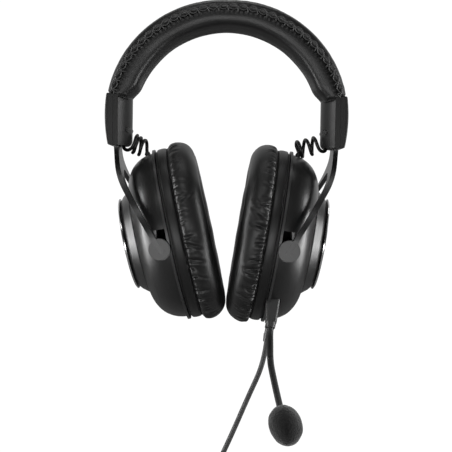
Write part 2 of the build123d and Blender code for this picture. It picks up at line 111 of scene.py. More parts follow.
# Cable, in metres
CORD_R = 0.00155
CORD_POINTS = [(0.0261, -0.010, -0.1870), (0.0247, -0.010, -0.1999), (0.0156, -0.0096, -0.2205),
               (0.0063, -0.0092, -0.2432), (-0.0016, -0.0085, -0.2610)]
COIL = Vector((0.0035, -0.0085, -0.2830))
COIL_R = 0.018
COIL_STEP = 0.00285
COIL_TURNS = 16.2
TURN_POINTS = 16
COIL_FROM = math.radians(150)

# Microphone, in millimetres but for HINGE_HALF, in metres
PLUG_AXIS = Vector((-0.088, -0.42, -0.903)).normalized()
SEAT = Vector((28.4, -29.0, -160.6))
BOOM_FROM = 13.5
BEND_1 = Vector((26.7, -43.0, -182.8))
BOOM_MID = Vector((26.3, -55.0, -190.9))
BEND_2 = Vector((27.5, -68.0, -197.3))
BOOM_END = Vector((29.7, -92.0, -206.9))
FOAM = Vector((32.4, -102.0, -215.5))
FOAM_AXIS = Vector((0.33, -0.25, -0.91)).normalized()
FOAM_HALF = 10.5
FOAM_R = 8.6
FOAM_RINGS = 110
FOAM_SIDES = 150
FOAM_FLAT_SIDE = Vector((-0.8, -0.5, -0.3)).normalized()


# ---- materials

def link(tree, source, target):
    tree.links.new(source, target)


def node(tree, kind, **settings):
    """A shader node with its attributes by name; sockets is a dictionary of its inputs' values."""
    made = tree.nodes.new(kind)
    for key, value in settings.items():
        if key == "sockets":
            for socket, number in value.items():
                made.inputs[socket].default_value = number
        else:
            setattr(made, key, value)
    return made


def finish(name, colour, rough, metallic=0.0, coat=0.0, coat_rough=0.1, sheen=0.0,
           specular=0.5):
    """A Principled material, its tree, its shader and the object coordinates its textures use."""
    material = bpy.data.materials.new(name)
    material.use_nodes = True
    material.diffuse_color = (*colour, 1)
    tree = material.node_tree
    shader = tree.nodes["Principled BSDF"]
    values = {"Base Color": (*colour, 1), "Roughness": rough, "Metallic": metallic,
              "Coat Weight": coat, "Coat Roughness": coat_rough, "Sheen Weight": sheen,
              "Specular IOR Level": specular}
    for socket, value in values.items():
        shader.inputs[socket].default_value = value
    return material, tree, shader, node(tree, "ShaderNodeTexCoord").outputs["Object"]


def vary(tree, shader, where, colour, share, scale, rough=None, rough_share=0.15):
    """Slow variation of colour, and of roughness where it is given; returns the colour's ramp."""
    cloud = node(tree, "ShaderNodeTexNoise",
                 sockets={"Scale": scale, "Detail": 5.0, "Roughness": 0.6})
    ramp = node(tree, "ShaderNodeValToRGB")
    ramp.color_ramp.elements[0].position = 0.3
    ramp.color_ramp.elements[1].position = 0.7
    ramp.color_ramp.elements[0].color = (*[c * (1 - share) for c in colour], 1)
    ramp.color_ramp.elements[1].color = (*[min(1, c * (1 + share)) for c in colour], 1)
    link(tree, where, cloud.inputs["Vector"])
    link(tree, cloud.outputs["Fac"], ramp.inputs["Fac"])
    link(tree, ramp.outputs["Color"], shader.inputs["Base Color"])
    if rough is not None:
        spread = node(tree, "ShaderNodeMapRange",
                      sockets={"To Min": rough * (1 - rough_share),
                               "To Max": rough * (1 + rough_share)})
        link(tree, cloud.outputs["Fac"], spread.inputs["Value"])
        link(tree, spread.outputs["Result"], shader.inputs["Roughness"])
    return ramp


def bump(tree, shader, height, depth, strength):
    """Relief of that depth, in metres, from a height output; relief already there is kept."""
    relief = node(tree, "ShaderNodeBump", sockets={"Strength": strength, "Distance": depth})
    link(tree, height, relief.inputs["Height"])
    if shader.inputs["Normal"].is_linked:
        link(tree, shader.inputs["Normal"].links[0].from_socket, relief.inputs["Normal"])
    link(tree, relief.outputs["Normal"], shader.inputs["Normal"])


def leather(name, colour, rough, grain=1500.0, depth=0.00006, crease=0.00012):
    """Leatherette: pebbled grain of that scale and depth, soft creases, and gloss that varies."""
    material, tree, shader, where = finish(name, colour, rough, sheen=0.02)
    shader.inputs["Sheen Roughness"].default_value = 0.5
    vary(tree, shader, where, colour, 0.18, 60.0, rough, 0.18)
    cells = node(tree, "ShaderNodeTexVoronoi", sockets={"Scale": grain})
    cells.feature = "SMOOTH_F1"
    folds = node(tree, "ShaderNodeTexNoise",
                 sockets={"Scale": 220.0, "Detail": 6.0, "Roughness": 0.65})
    for texture in (cells, folds):
        link(tree, where, texture.inputs["Vector"])
    bump(tree, shader, folds.outputs["Fac"], crease, 0.5)
    bump(tree, shader, cells.outputs["Distance"], depth, 0.6)
    return material


def plastic(name, colour, rough, coat=0.0, coat_rough=0.2, specular=0.5):
    """Moulded plastic or satin paint: fine spark texture and slight wear in its gloss."""
    material, tree, shader, where = finish(name, colour, rough, coat=coat,
                                           coat_rough=coat_rough, specular=specular)
    vary(tree, shader, where, colour, 0.10, 45.0, rough, 0.12)
    spark = node(tree, "ShaderNodeTexNoise", sockets={"Scale": 2600.0, "Detail": 3.0})
    link(tree, where, spark.inputs["Vector"])
    bump(tree, shader, spark.outputs["Fac"], 0.00002, 0.5)
    return material


def turned_metal(name, colour, rough, sign=0):
    """Satin metal with fine rings: about a cup's axis where sign names a side, else about X."""
    material, tree, shader, where = finish(name, colour, rough, metallic=1.0)
    vary(tree, shader, where, colour, 0.08, 80.0, rough, 0.2)
    place = node(tree, "ShaderNodeMapping", vector_type="TEXTURE")
    place.inputs["Location"].default_value = cup_point(0, 0, 0, sign) if sign else (0, 0, 0)
    place.inputs["Rotation"].default_value = (0, TILTS.get(sign, 0) * sign, 0)
    rings = node(tree, "ShaderNodeTexWave", wave_type="RINGS", rings_direction="X",
                 sockets={"Scale": 900.0 if sign else 400.0, "Distortion": 0.4,
                          "Detail": 2.0})
    link(tree, where, place.inputs["Vector"])
    link(tree, place.outputs["Vector"], rings.inputs["Vector"])
    bump(tree, shader, rings.outputs["Fac"], 0.00002, 0.4)
    return material


def foam_finish(name, colour):
    """Open-cell foam: deep pores at two sizes, no gloss."""
    material, tree, shader, where = finish(name, colour, 0.95, sheen=0.35, specular=0.2)
    vary(tree, shader, where, colour, 0.35, 900.0)
    for scale, depth in ((1500.0, 0.00016), (700.0, 0.0002)):
        pores = node(tree, "ShaderNodeTexVoronoi", sockets={"Scale": scale})
        link(tree, where, pores.inputs["Vector"])
        bump(tree, shader, pores.outputs["Distance"], depth, 0.8)
    return material


def woven(name, colour):
    """Fine mesh cloth: two crossing waves of thread."""
    material, tree, shader, where = finish(name, colour, 0.85, sheen=0.3)
    vary(tree, shader, where, colour, 0.2, 150.0)
    for direction in ("Y", "Z"):
        thread = node(tree, "ShaderNodeTexWave", bands_direction=direction,
                      sockets={"Scale": 330.0, "Distortion": 0.3})
        link(tree, where, thread.inputs["Vector"])
        bump(tree, shader, thread.outputs["Fac"], 0.00025, 0.8)
    return material


def rubber(name, colour, rough):
    """Cord jacket or thread: matte with faint handling marks."""
    material, tree, shader, where = finish(name, colour, rough, specular=0.45)
    vary(tree, shader, where, colour, 0.2, 120.0, rough, 0.2)
    grain = node(tree, "ShaderNodeTexNoise", sockets={"Scale": 500.0, "Detail": 3.0})
    link(tree, where, grain.inputs["Vector"])
    bump(tree, shader, grain.outputs["Fac"], 0.000008, 0.4)
    return material


def banded(name, colours, limits, rough):
    """A moulded plug in bands of colour; limits are their upper ends along Z, from the top down."""
    material, tree, shader, where = finish(name, colours[0], rough)
    ramp = vary(tree, shader, where, colours[0], 0.08, 60.0, rough, 0.15)
    low, high = limits[-1] - 0.002, limits[0] + 0.002
    split = node(tree, "ShaderNodeSeparateXYZ")
    height = node(tree, "ShaderNodeMapRange", sockets={"From Min": high, "From Max": low})
    bands = node(tree, "ShaderNodeValToRGB")
    bands.color_ramp.interpolation = "CONSTANT"
    for i, limit in enumerate(limits):
        at = (high - limit) / (high - low)
        stop = bands.color_ramp.elements[0] if i == 0 else bands.color_ramp.elements.new(at)
        stop.color = (*colours[i], 1)
    bands.color_ramp.elements.remove(bands.color_ramp.elements[-1])
    mix = node(tree, "ShaderNodeMix", data_type="RGBA", blend_type="MIX")
    mix.inputs["Factor"].default_value = 0.85
    link(tree, where, split.inputs["Vector"])
    link(tree, split.outputs["Z"], height.inputs["Value"])
    link(tree, height.outputs["Result"], bands.inputs["Fac"])
    link(tree, ramp.outputs["Color"], mix.inputs["A"])
    link(tree, bands.outputs["Color"], mix.inputs["B"])
    link(tree, mix.outputs["Result"], shader.inputs["Base Color"])
    return material


def grey(value):
    return (value, value, value)


def make_materials():
    """Every finish, by the record's material slot or by its own name."""
    return {
        "cover_leather": leather("cover_leather", grey(0.005), 0.40, grain=1100.0,
                                 depth=0.0001),
        "pad_leather": leather("pad_leather", grey(0.0065), 0.42),
        "ear_leather": leather("ear_leather", grey(0.005), 0.42, depth=0.00003,
                               crease=0.00006),
        "spring_steel": turned_metal("spring_steel", grey(0.45), 0.35),
        "housing_plastic": plastic("housing_plastic", grey(0.010), 0.42, specular=0.30),
        "fork_metal": plastic("fork_metal", grey(0.006), 0.36, coat=0.1),
        "cap_plastic": plastic("cap_plastic", grey(0.075), 0.45),
        "shell_plastic": plastic("shell_plastic", grey(0.009), 0.34, coat=0.35,
                                 coat_rough=0.28),
        "trim_metal": plastic("trim_metal", grey(0.03), 0.35),
        "disc_left": turned_metal("disc_left", grey(0.85), 0.18, 1),
        "disc_right": turned_metal("disc_right", grey(0.85), 0.18, -1),
        "baffle_plastic": plastic("baffle_plastic", grey(0.012), 0.6),
        "screw_steel": turned_metal("screw_steel", grey(0.05), 0.4),
        "magnet_steel": turned_metal("magnet_steel", grey(0.35), 0.35),
        "driver_plastic": plastic("driver_plastic", grey(0.05), 0.5),
        "diaphragm_film": plastic("diaphragm_film", grey(0.10), 0.2),
        "scrim_cloth": woven("scrim_cloth", grey(0.012)),
        "foam": foam_finish("foam", grey(0.007)),
        "boom_plastic": plastic("boom_plastic", grey(0.010), 0.42),
        "cord_rubber": rubber("cord_rubber", grey(0.035), 0.55),
        "lead_rubber": rubber("lead_rubber", grey(0.010), 0.38),
        "thread": rubber("thread", grey(0.042), 0.45),
        "plug_plastic": plastic("plug_plastic", grey(0.026), 0.45),
        "cable_plug": banded("cable_plug", [grey(0.012), grey(0.10), grey(0.012)],
                             [-0.160, -0.1792, -0.1826], 0.4),
        "contact_brass": turned_metal("contact_brass", (0.78, 0.60, 0.28), 0.2),
        "board": plastic("board", (0.02, 0.09, 0.04), 0.5),
    }


def paint(obj, material):
    if not obj.material_slots:
        obj.data.materials.append(material)
    for holder in obj.material_slots:
        holder.material = material


# ---- mesh helpers

def add_mesh(name, vertices, faces, material):
    """A mesh object from points in metres, smooth-shaded but for its end caps."""
    mesh = bpy.data.meshes.new(name)
    mesh.from_pydata([tuple(v) for v in vertices], [], faces)
    mesh.update()
    mesh.polygons.foreach_set("use_smooth", [len(face) <= 4 for face in faces])
    obj = bpy.data.objects.new(name, mesh)
    bpy.context.scene.collection.objects.link(obj)
    paint(obj, material)
    return obj


def grid_faces(rows, columns, close_rows=False, start=0):
    """Quads over a grid of points, row by row; each row closes on itself."""
    faces = []
    for i in range(rows if close_rows else rows - 1):
        for j in range(columns):
            a, b = i * columns, (i + 1) % rows * columns
            k = (j + 1) % columns
            faces.append((start + a + j, start + b + j, start + b + k, start + a + k))
    return faces


def tube_parts(line, radius, sides, start=0):
    """Points and faces of a round bar along a line; radius: one number or one for each point."""
    line = [Vector(p) for p in line]
    last = len(line) - 1
    radii = radius if hasattr(radius, "__len__") else [radius] * len(line)
    points, across = [], None
    for i, p in enumerate(line):
        along = (line[min(i + 1, last)] - line[max(i - 1, 0)]).normalized()
        across = along.orthogonal() if across is None else across - along * across.dot(along)
        across = across.normalized()
        other = along.cross(across)
        for k in range(sides):
            turn = CIRCLE * k / sides
            points.append(p + (across * math.cos(turn) + other * math.sin(turn)) * radii[i])
    faces = grid_faces(len(line), sides, start=start)
    faces.append(tuple(start + k for k in reversed(range(sides))))
    faces.append(tuple(start + last * sides + k for k in range(sides)))
    return points, faces


def tubes(name, lines, radius, material, sides):
    """One mesh of round bars along several lines, in metres."""
    points, faces = [], []
    for line in lines:
        more_points, more_faces = tube_parts(line, radius, sides, len(points))
        points += more_points
        faces += more_faces
    return add_mesh(name, points, faces, material)


def smooth_loop(corners, rounds):
    """A closed polyline with its corners cut again and again, which nears a smooth curve."""
    points = [np.array(c, float) for c in corners]
    for _ in range(rounds):
        cut = []
        for a, b in zip(points, points[1:] + points[:1]):
            cut += [a * 0.75 + b * 0.25, a * 0.25 + b * 0.75]
        points = cut
    return np.array(points)


def nurbs(name, points, resolution):
    """An open NURBS curve with these control points, in metres."""
    curve = bpy.data.curves.new(name, "CURVE")
    curve.dimensions = "3D"
    curve.resolution_u = resolution
    spline = curve.splines.new("NURBS")
    spline.points.add(len(points) - 1)
    for point, place in zip(spline.points, points):
        point.co = (*place, 1)
    spline.order_u = 3
    spline.use_endpoint_u = True
    obj = bpy.data.objects.new(name, curve)
    bpy.context.scene.collection.objects.link(obj)
    return obj


def smooth_line(points, resolution):
    """The points of the smooth line that a NURBS spline makes of its control points."""
    obj = nurbs("route", points, resolution)
    mesh = bpy.data.meshes.new_from_object(obj)
    line = [v.co.copy() for v in mesh.vertices]
    bpy.data.objects.remove(obj)
    bpy.data.meshes.remove(mesh)
    return line


def step(low, high, x):
    """0 at low and beyond, 1 at high and beyond, smooth between; low may be the larger."""
    t = np.clip((np.asarray(x, float) - low) / (high - low), 0, 1)
    return t * t * (3 - 2 * t)


def cup_point(n, y, u, sign):
    """A point of a cup's own frame (n outward, u up, millimetres) in the scene, in metres."""
    cos, sin = math.cos(TILTS[sign]), math.sin(TILTS[sign])
    n, u = n - PIVOT_N, u - PIVOT_U
    return Vector(((PIVOT.x + cos * n + sin * u) * sign, y, PIVOT.z - sin * n + cos * u)) * MM


# ---- camera, lights and stage

def make_camera():
    data = bpy.data.cameras.new("camera")
    data.lens = LENS
    data.sensor_width = 36.0
    camera = bpy.data.objects.new("camera", data)
    bpy.context.scene.collection.objects.link(camera)
    forward = (AIM - EYE).normalized()
    right = Vector((math.cos(ROLL), 0, math.sin(ROLL)))
    right = (right - forward * right.dot(forward)).normalized()
    up = right.cross(forward)
    turn = Matrix((right, up, -forward)).transposed().to_4x4()
    camera.matrix_world = Matrix.Translation(EYE) @ turn
    bpy.context.scene.camera = camera


def area_light(name, place, size, power):
    """A soft light, itself unseen, that faces the object's middle."""
    data = bpy.data.lights.new(name, "AREA")
    data.shape = "RECTANGLE"
    data.size, data.size_y = size
    data.energy = power
    light = bpy.data.objects.new(name, data)
    bpy.context.scene.collection.objects.link(light)
    light.location = place
    light.visible_camera = False
    light.rotation_euler = (LIGHT_AIM - Vector(place)).to_track_quat("-Z", "Y").to_euler()


def white_when_seen(tree, lit, white, output):
    """Sends plain white to camera rays and the surface's own light to every other ray."""
    mix = node(tree, "ShaderNodeMixShader")
    ray = node(tree, "ShaderNodeLightPath")
    link(tree, ray.outputs["Is Camera Ray"], mix.inputs["Fac"])
    link(tree, lit, mix.inputs[1])
    link(tree, white, mix.inputs[2])
    link(tree, mix.outputs["Shader"], tree.nodes[output].inputs["Surface"])


def make_lights():
    """A surround that is white to the eye but lights from behind the object, and seven softboxes:
    a key over the camera, one below it, two tall ones and two low ones at the sides, one on top."""
    scene = bpy.context.scene
    scene.view_settings.view_transform = "Standard"
    world = bpy.data.worlds.new("world")
    world.use_nodes = True
    scene.world = world
    tree = world.node_tree
    background = tree.nodes["Background"]
    background.inputs["Color"].default_value = WHITE
    around = node(tree, "ShaderNodeSeparateXYZ")
    backdrop = node(tree, "ShaderNodeMapRange", interpolation_type="SMOOTHSTEP",
                    sockets={"From Min": 0.05, "From Max": 0.75, "To Min": 0.015,
                             "To Max": 0.6})
    link(tree, node(tree, "ShaderNodeTexCoord").outputs["Generated"], around.inputs["Vector"])
    link(tree, around.outputs["Y"], backdrop.inputs["Value"])
    link(tree, backdrop.outputs["Result"], background.inputs["Strength"])
    seen = node(tree, "ShaderNodeBackground", sockets={"Color": WHITE, "Strength": SEEN_WHITE})
    white_when_seen(tree, background.outputs["Background"], seen.outputs["Background"],
                    "World Output")
    area_light("key", (-0.15, -0.95, 0.9), (0.6, 0.35), 2.4)
    area_light("front", (-0.1, -1.1, -0.22), (0.8, 0.22), 3.6)
    for name, side in (("right", 1), ("left", -1)):
        area_light(f"side_{name}", (0.95 * side, -0.12, -0.10), (0.24, 1.0), 9.0)
    for name, side in (("right", 1), ("left", -1)):
        area_light(f"low_{name}", (0.50 * side, -0.10, -0.31), (0.35, 0.25), 1.6)
    area_light("top", (0.0, 0.15, 0.9), (0.7, 0.4), 2.2)


def make_floor(low):
    """A plain white floor, below the cable's plug even with both sliders out."""
    material, tree, shader, _ = finish("floor", grey(0.18), 0.9)
    seen = node(tree, "ShaderNodeEmission", sockets={"Color": WHITE, "Strength": SEEN_WHITE})
    white_when_seen(tree, shader.outputs["BSDF"], seen.outputs["Emission"], "Material Output")
    corners = [(x * FLOOR_HALF, y * FLOOR_HALF, low - FLOOR_DROP)
               for x, y in ((-1, -1), (1, -1), (1, 1), (-1, 1))]
    add_mesh("floor", corners, [(0, 1, 2, 3)], material)


# ---- cable

def bundle_places():
    """Where each turn lies in the bundle's section, as (outward, back) from its middle."""
    outer = [(COIL_STEP * (2 if degrees % 60 == 0 else math.sqrt(3)), math.radians(degrees))
             for degrees in range(210, 510, 30)]
    inner = [(COIL_STEP, math.radians(degrees)) for degrees in range(120, 480, 60)]
    places = [(reach * math.cos(turn), reach * math.sin(turn)) for reach, turn in outer + inner]
    return places + [(0.0, 0.0)]


def cable_points():
    """The cable's control points: its visible run, the coil's turns, and the way into its plug."""
    places = bundle_places()
    points = [Vector(p) for p in CORD_POINTS]
    points += [Vector((-0.0036, -0.0155, -0.2662)), Vector((-0.0054, -0.0172, -0.2712))]
    for i in range(1, int(COIL_TURNS * TURN_POINTS) + 1):
        turns = i / TURN_POINTS
        first = min(int(turns), len(places) - 2)
        share = min(turns - first, 1.0)
        out = places[first][0] * (1 - share) + places[first + 1][0] * share
        back = places[first][1] * (1 - share) + places[first + 1][1] * share
        angle = COIL_FROM + CIRCLE * turns
        points.append(COIL + Vector(((COIL_R + out) * math.cos(angle), back,
                                     (COIL_R + out) * math.sin(angle))))
    plug = COIL.x
    return points + [Vector((plug - 0.0075, COIL.y, -0.3000)), Vector((plug, COIL.y, -0.3003)),
                     Vector((plug, COIL.y, -0.3085))]


def make_cable(finishes):
    cable = nurbs("cable", cable_points(), 6)
    cable.data.bevel_depth = CORD_R
    cable.data.bevel_resolution = 4
    cable.data.use_fill_caps = True
    cable.data.materials.append(finishes["cord_rubber"])
    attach(cable, "cup_left")
    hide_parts("cord", "cord_coil")


# ---- coiled leads

# Control points on the wearer's left, in millimetres: the way out of the housing, the upper and
# lower ends of the half-turns as (x, z), and the way into the cup
LEADS = {
    "left": {
        "out": [(60.6, 1.5, -69.6), (60.5, 0.9, -71.4), (59.2, -0.9, -72.3), (57.3, -3.2, -72.3),
                (55.7, -4.9, -70.9), (54.5, -5.4, -68.2), (53.6, -4.0, -65.3)],
        "ends": [(52.7, -63.8), (52.3, -74.2), (47.8, -65.3), (46.4, -75.7), (42.8, -66.5)],
        "cup": [(42.6, 2.0, -66.8), (42.7, 3.8, -69.0), (43.6, 2.6, -71.4), (44.0, 0.6, -72.9),
                (43.9, 0.0, -74.2), (43.6, 0.0, -75.6)]},
    "right": {
        "out": [(62.2, 1.5, -69.6), (62.2, 0.8, -71.8), (61.0, -1.0, -73.0), (58.9, -3.2, -73.5),
                (56.5, -4.9, -72.0), (55.0, -5.4, -69.0), (54.4, -4.2, -65.7)],
        "ends": [(53.7, -64.1), (56.7, -74.8), (51.5, -65.6), (53.0, -76.0), (49.1, -67.1)],
        "cup": [(48.6, 2.0, -67.3), (48.3, 3.8, -69.4), (48.2, 2.6, -71.9), (48.0, 0.6, -73.5),
                (47.7, 0.0, -74.8), (47.4, 0.0, -76.2)]},
}


def lead_points(side):
    """A coiled lead's control points: out of the housing, half-turns down behind and up in front,
    and into the cup."""
    spec = LEADS[side]
    points = list(spec["out"])
    for k, (start, end) in enumerate(zip(spec["ends"], spec["ends"][1:])):
        for i in range(LEAD_STEPS):
            turn = math.pi * i / LEAD_STEPS
            rise = 0.5 - 0.5 * math.cos(turn)
            points.append((start[0] + (end[0] - start[0]) * i / LEAD_STEPS,
                           (-1) ** k * LEAD_HALF_Y * math.sin(turn),
                           start[1] + (end[1] - start[1]) * rise))
    last = spec["ends"][-1]
    points.append((last[0], 0.0, last[1]))
    points += spec["cup"]
    return [Vector((p[0] * SIDES[side], p[1], p[2])) * MM for p in points]


def make_lead(side, finishes):
    """One lead as three lengths of wire, each across one joint."""
    line = smooth_line(lead_points(side), 4)
    run = np.cumsum([0] + [(b - a).length for a, b in zip(line, line[1:])])
    cuts = [int(np.searchsorted(run, run[-1] * share)) for share in LEAD_CUTS]
    for i in range(3):
        part = line[cuts[i]:cuts[i + 1] + 1]
        piece = tubes(f"coiled_lead_{side}_{i + 1}", [part], LEAD_WIRE_R,
                      finishes["lead_rubber"], 14)
        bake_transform(piece)
        if i == 0:
            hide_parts(f"coiled_lead_{side}")


# ---- headband

def seam_r(degrees):
    """Radius of the seam between cover and pad: nearer the outside towards the ends."""
    share = np.clip((90 - np.abs(np.asarray(degrees, float) - 90) - 90) / -75, 0, None)
    return SEAM_MID_R + 1.9 * share ** 1.2


def arch_point(r, y, degrees):
    """The point at that radius and angle of the headband's arch, in millimetres."""
    a = np.radians(degrees)
    return r * np.cos(a), y + 0 * a, ARCH_Z + r * np.sin(a)


def swept(name, section, relief, material):
    """A closed section, given as arrays of y and r at each angle, swept along the arch."""
    points = []
    for degrees in np.linspace(BAND_FROM_DEG, 180 - BAND_FROM_DEG, BAND_STEPS):
        ys, rs = relief(degrees, *section(degrees))
        x, y, z = arch_point(rs, ys, np.full(len(rs), degrees))
        points += list(zip(x * MM, y * MM, z * MM))
    count = len(ys)
    faces = grid_faces(BAND_STEPS, count)
    faces.append(tuple(range(count)))
    faces.append(tuple((BAND_STEPS - 1) * count + k for k in reversed(range(count))))
    return add_mesh(name, points, faces, material)


def mirrored_loop(half):
    """A smooth closed loop of (y, r) from the corners of its -y half and their mirror images."""
    half = np.array(half, float)
    other = half[::-1] * [-1, 1]
    return smooth_loop(np.vstack([half, other]), 3)


def cover_section(degrees):
    """The cover is fullest at the shoulders and tucks in where it enters the housings."""
    seam = float(seam_r(degrees))
    lean = abs(degrees - 90)
    top = COVER_TOP_R + 0.3 - 1.2 * ((lean - 45) / (45 if lean < 45 else 36)) ** 2
    tuck = float(step(*TUCK_DEG, 90 - lean))
    top -= 1.3 * tuck
    edge = top - 1.9
    loop = mirrored_loop([
        (-3, seam - 0.6), (-14, seam - 0.5), (-16.5, seam - 0.2), (-17.2, seam + 0.5),
        (-17.5, seam + 1.6), (-17.3, (seam + edge) / 2 + 0.5), (-16.4, edge - 0.4),
        (-14.4, edge + 0.7), (-10.5, top - 0.45), (-4, top + 0.05)])
    return loop[:, 0] * (1 - 0.06 * tuck), loop[:, 1]


def along_mm(degrees):
    """Distance along the seam from the crown, in millimetres."""
    return math.radians(degrees - 90) * SEAM_MID_R


def pucker_cover(degrees, ys, rs):
    """Leather drawn in at each stitch along both seams."""
    seam = float(seam_r(degrees))
    wave = math.cos(CIRCLE * along_mm(degrees) / LOOP_PITCH)
    near = np.exp(-((rs - seam - 0.8) / 1.5) ** 2) * step(12, 16.5, np.abs(ys))
    ripple = noise.noise(Vector((along_mm(degrees) * 0.35, 3.0, 0.0)))
    return ys + np.sign(ys) * near * (0.16 * wave - 0.15), rs + 0.12 * ripple


def pad_section(degrees):
    """The pad thins at its ends, where it meets the housings' inner corners."""
    seam = float(seam_r(degrees))
    level = 90 - abs(degrees - 90)
    low = PAD_IN_R + 3.4 * float(step(25, 13.0, level)) ** 2
    tuck = float(step(*TUCK_DEG, level))
    loop = mirrored_loop([
        (-4, seam - 0.5), (-14.5, seam - 0.3), (-16.6, seam - 0.1), (-17.3, seam - 0.9),
        (-17.8, seam - 3.2), (-17.7, (seam + low) / 2), (-17.0, low + 2.9),
        (-15.3, low + 1.2), (-12.0, low + 0.3), (-5.0, low - 0.1)])
    return loop[:, 0] * (1 - 0.08 * tuck), loop[:, 1]


def gather_pad(degrees, ys, rs):
    """Short gathers under the seam and slow unevenness in the filling."""
    seam = float(seam_r(degrees))
    s = along_mm(degrees)
    under = np.exp(-((rs - seam + 1.6) / 1.3) ** 2) * step(12, 16.5, np.abs(ys))
    drift = 1.5 * noise.noise(Vector((s * 0.2, 0, 7)))
    gathers = 0.13 * math.cos(CIRCLE * s / (LOOP_PITCH / 2) + drift)
    soft = np.array([noise.noise(Vector((s * 0.06, y * 0.12, r * 0.1))) for y, r in zip(ys, rs)])
    return ys + np.sign(ys) * (under * gathers + 0.2 * soft), rs + 0.25 * soft


def seam_threads(finishes):
    """Both seams' decorative stitching: two threads that cross to make a chain, and its tacks."""
    lines = []
    span = math.radians(180 - 2 * BAND_FROM_DEG - 1.0) * SEAM_MID_R
    for face in (-1, 1):
        for phase in (1, -1):
            line = []
            for s in np.arange(-span / 2, span / 2, THREAD_STEP):
                degrees = 90 + math.degrees(s / SEAM_MID_R)
                wave = math.sin(math.pi * s / LOOP_PITCH)
                r = float(seam_r(degrees)) + 1.0 + phase * LOOP_HALF * wave
                lift = THREAD_Y + 0.22 * phase * math.cos(math.pi * s / LOOP_PITCH)
                line.append(Vector(arch_point(r, face * lift, degrees)) * MM)
            lines.append(line)
        for k in range(int(-span / 2 / LOOP_PITCH), int(span / 2 / LOOP_PITCH) + 1):
            degrees = 90 + math.degrees(k * LOOP_PITCH / SEAM_MID_R)
            seam = float(seam_r(degrees))
            lines.append([Vector(arch_point(seam + r, face * y, degrees + turn)) * MM
                          for r, y, turn in ((1.3, 17.35, 0.4), (0.6, 17.9, 0.25),
                                             (-0.6, 17.85, -0.1), (-1.5, 17.3, -0.4))])
    return tubes("headband_stitching", lines, THREAD_R * MM, finishes["thread"], 8)


def make_headband(finishes):
    cover = swept("headband_cover_leather", cover_section, pucker_cover,
                  finishes["cover_leather"])
    pad = swept("headband_pad_leather", pad_section, gather_pad, finishes["pad_leather"])
    threads = seam_threads(finishes)
    for piece, material_slot in ((cover, "cover_leather"), (pad, "pad_leather"),
                                 (threads, "cover_leather")):
        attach(piece, "headband")
    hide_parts("headband_cover")
    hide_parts("headband_pad")


# ---- ear pads

# The pad's section as corners of (n, radius): skirt, seam, outer side, face, inner side, back
EAR_SECTION = [
    (-1.3, 50.9), (-1.4, 51.4), (-1.9, 51.75), (-2.8, 51.95), (-4.4, 52.05), (-5.8, 51.95),
    (-6.7, 51.7), (-7.2, 51.2), (-7.5, 50.7), (-7.8, 51.2), (-8.3, 52.0), (-9.2, 52.9),
    (-10.6, 53.6), (-12.4, 53.95), (-14.6, 53.8), (-16.8, 53.2), (-18.9, 52.0), (-20.6, 50.3),
    (-21.9, 48.2), (-22.7, 46.0), (-23.1, 43.5), (-23.2, 40.8), (-22.9, 38.0), (-22.0, 35.2),
    (-20.2, 33.0), (-17.5, 31.8), (-13.5, 31.2), (-9.0, 31.0), (-5.2, 31.0), (-4.75, 31.6),
    (-4.7, 38.0), (-4.7, 46.0), (-4.5, 49.6), (-3.0, 50.7)]


def pleat_relief(arc, around, seed):
    """Relief of the gathers: arc is the distance from the seam, and around the angle."""
    rng = random.Random(seed)
    relief = np.zeros((len(arc), len(around)))
    d = arc[:, None]
    for k in range(PLEATS):
        centre = CIRCLE * (k + rng.uniform(-0.42, 0.42)) / PLEATS
        lower = 0.5 - 0.5 * math.cos(centre)
        strength = (0.6 + 1.5 * min(1.0, lower * 1.8)) * rng.uniform(0.35, 1.3)
        reach = rng.uniform(6.0, 15.0)
        width = rng.uniform(0.6, 1.15)
        slant = rng.uniform(-0.25, 0.25) * d + rng.uniform(-0.03, 0.03) * d ** 2
        path = centre + slant / PLEAT_ROUND_R
        off = ((around[None, :] - path + math.pi) % CIRCLE - math.pi) * PLEAT_ROUND_R
        fade = step(0.3, 3.2, d) * (1 - step(0.35 * reach, reach, d)) * (d > 0)
        valley = np.exp(-(off / width) ** 2)
        puff = 0.75 * np.exp(-((off - 1.9 * width) / (1.3 * width)) ** 2)
        puff += 0.55 * np.exp(-((off + 2.0 * width) / (1.5 * width)) ** 2)
        relief += strength * fade * (puff - valley) * 0.55
    return relief


